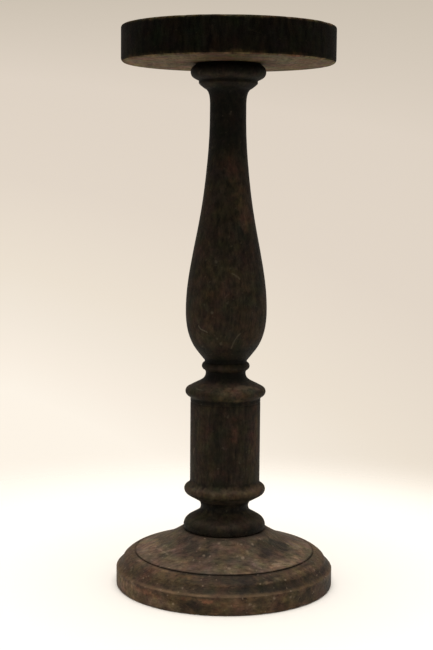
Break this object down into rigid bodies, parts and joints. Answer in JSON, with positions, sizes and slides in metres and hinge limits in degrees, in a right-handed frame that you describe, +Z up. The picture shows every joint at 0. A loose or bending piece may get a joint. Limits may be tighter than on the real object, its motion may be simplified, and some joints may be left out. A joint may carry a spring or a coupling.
{
  "type": "candlestick",
  "caption": "Tall turned wooden candlestick: moulded round base, column with a plain drum and a long baluster, and a thick flat round plate for a pillar candle.",
  "frame": {"origin": "centre of the base's underside, on the turning axis, in the plane that the base stands on", "axes": "+Z up along the turning axis, +X to the right and -Y towards the viewer; the grain of the base's boards runs along X and that of the plate along Y"},
  "size_m": [0.2, 0.2, 0.508],
  "materials": {
    "plate_wood": "old dark stain, dusty, dry underside",
    "column_wood": "old dark brown stain, thin worn wax, dusty",
    "dome_wood": "worn brown stain under dust",
    "plinth_wood": "worn brown stain, rubbed bare along the arris",
    "wedge_wood": "bare end grain, darkened"
  },
  "bodies": {
    "root": {"top_plate": "plate_wood", "column": "column_wood", "base_dome": "dome_wood", "base_plinth": "plinth_wood", "plate_wedge": "wedge_wood", "base_wedge": "wedge_wood"}
  },
  "joints": []
}
